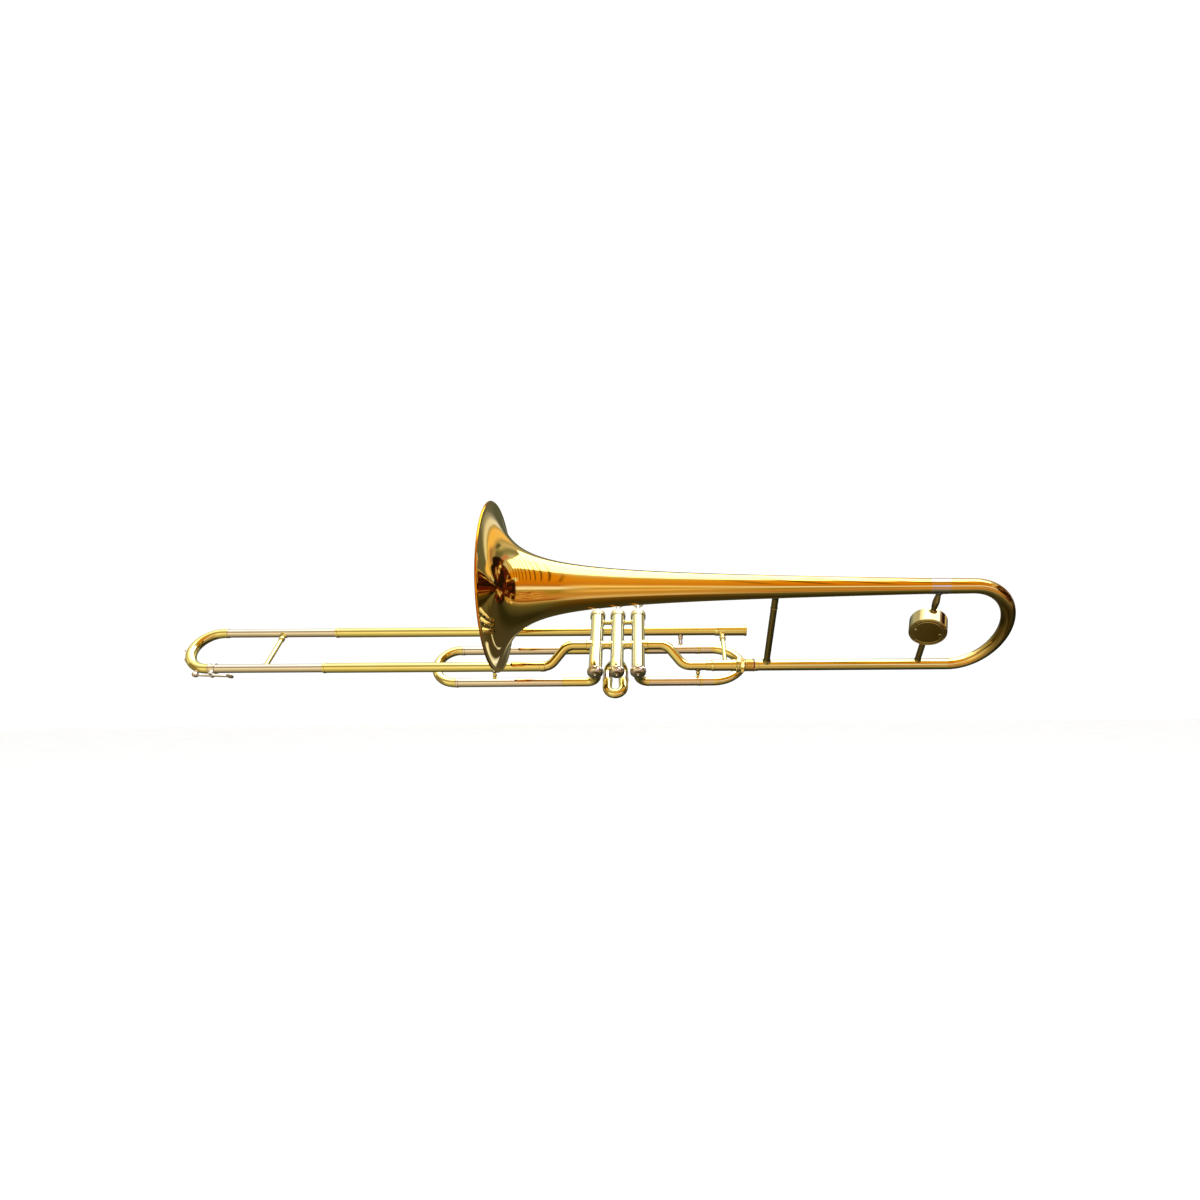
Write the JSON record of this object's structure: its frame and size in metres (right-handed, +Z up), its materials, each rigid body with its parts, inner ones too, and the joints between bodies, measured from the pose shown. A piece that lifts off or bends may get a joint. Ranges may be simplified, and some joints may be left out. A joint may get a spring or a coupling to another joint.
{
  "type": "valve trombone",
  "caption": "Valve trombone with a flared bell, piston valves that press, tuning and valve slides that pull, and a water key.",
  "frame": {"origin": "middle of the second valve casing, where the left hand holds the instrument", "axes": "+X towards the player, along every main tube, +Z up, +Y to the player's right"},
  "size_m": [1.1443, 0.2392, 0.2489],
  "materials": {
    "lacquered_brass": "clear gold lacquer, polished",
    "nickel_silver": "polished nickel silver",
    "steel": "plain",
    "cork": "natural cork"
  },
  "bodies": {
    "horn": {"bell": "lacquered_brass", "bell_brace": "lacquered_brass", "bell_ferrule": "nickel_silver", "bottom_cap_1": "nickel_silver", "bottom_cap_2": "nickel_silver", "bottom_cap_3": "nickel_silver", "casing_brace_12": "lacquered_brass", "casing_brace_23": "lacquered_brass", "counterweight": "lacquered_brass", "counterweight_lower_rod": "lacquered_brass", "counterweight_upper_rod": "lacquered_brass", "crossover_12": "lacquered_brass", "crossover_23": "lacquered_brass", "leadpipe": "lacquered_brass", "lock_receiver": "lacquered_brass", "lower_slide_tube": "lacquered_brass", "mouthpiece_receiver": "lacquered_brass", "neck_lock_sleeve": "lacquered_brass", "neckpipe": "lacquered_brass", "rear_crook": "lacquered_brass", "receiver_brace": "lacquered_brass", "slide_1_lower_brace": "lacquered_brass", "slide_1_lower_sleeve": "nickel_silver", "slide_1_upper_brace": "lacquered_brass", "slide_1_upper_sleeve": "nickel_silver", "slide_2_left_sleeve": "nickel_silver", "slide_2_right_sleeve": "nickel_silver", "slide_3_brace": "lacquered_brass", "slide_3_lower_sleeve": "nickel_silver", "slide_3_upper_sleeve": "nickel_silver", "top_cap_1": "nickel_silver", "top_cap_2": "nickel_silver", "top_cap_3": "nickel_silver", "valve_1_bend": "lacquered_brass", "valve_3_bend": "lacquered_brass", "valve_casing_1": "nickel_silver", "valve_casing_2": "nickel_silver", "valve_casing_3": "nickel_silver", "valve_spring_1": "steel", "valve_spring_2": "steel", "valve_spring_3": "steel"},
    "tuning_slide": {"tuning_bow": "lacquered_brass", "tuning_leg_upper": "nickel_silver", "tuning_leg_lower": "nickel_silver", "tuning_brace": "lacquered_brass", "bow_guard": "nickel_silver", "water_key_saddle": "nickel_silver", "water_key_pin": "steel"},
    "water_key": {"water_key_lever": "nickel_silver", "water_key_cork": "cork"},
    "lock_nut": {"lock_nut": "lacquered_brass"},
    "slide_1": {"slide_1_crook": "lacquered_brass"},
    "slide_2": {"slide_2_crook": "lacquered_brass"},
    "slide_3": {"slide_3_crook": "lacquered_brass"},
    "valve_1": {"piston_1": "steel", "finger_button_1": "nickel_silver"},
    "valve_2": {"piston_2": "steel", "finger_button_2": "nickel_silver"},
    "valve_3": {"piston_3": "steel", "finger_button_3": "nickel_silver"}
  },
  "joints": [
    {"name": "tuning_pull", "type": "slide", "parent": "horn", "child": "tuning_slide", "axis": [-1, 0, 0], "range_m": [0, 0.06]},
    {"name": "water_key_turn", "type": "hinge", "parent": "tuning_slide", "child": "water_key", "pos_m": [-0.559, -0.00998, -0.04482], "axis": [0, -0.7986, 0.6018], "range_deg": [0, 10], "stiffness_Nm_per_rad": 0.02, "springref_deg": -17.19},
    {"name": "lock_turn", "type": "hinge", "parent": "horn", "child": "lock_nut", "pos_m": [0.1718, -0.00348, -0.03619], "axis": [1, 0, 0], "continuous": true},
    {"name": "slide_1_pull", "type": "slide", "parent": "horn", "child": "slide_1", "axis": [1, 0, 0], "range_m": [0, 0.022]},
    {"name": "slide_2_pull", "type": "slide", "parent": "horn", "child": "slide_2", "axis": [0, -0.6018, -0.7986], "range_m": [0, 0.01]},
    {"name": "slide_3_pull", "type": "slide", "parent": "horn", "child": "slide_3", "axis": [-1, 0, 0], "range_m": [0, 0.03]},
    {"name": "valve_1_press", "type": "slide", "parent": "horn", "child": "valve_1", "axis": [0, -0.6018, -0.7986], "range_m": [0, 0.016], "stiffness_N_per_m": 150, "springref_m": -0.014},
    {"name": "valve_2_press", "type": "slide", "parent": "horn", "child": "valve_2", "axis": [0, -0.6018, -0.7986], "range_m": [0, 0.016], "stiffness_N_per_m": 150, "springref_m": -0.014},
    {"name": "valve_3_press", "type": "slide", "parent": "horn", "child": "valve_3", "axis": [0, -0.6018, -0.7986], "range_m": [0, 0.016], "stiffness_N_per_m": 150, "springref_m": -0.014}
  ]
}
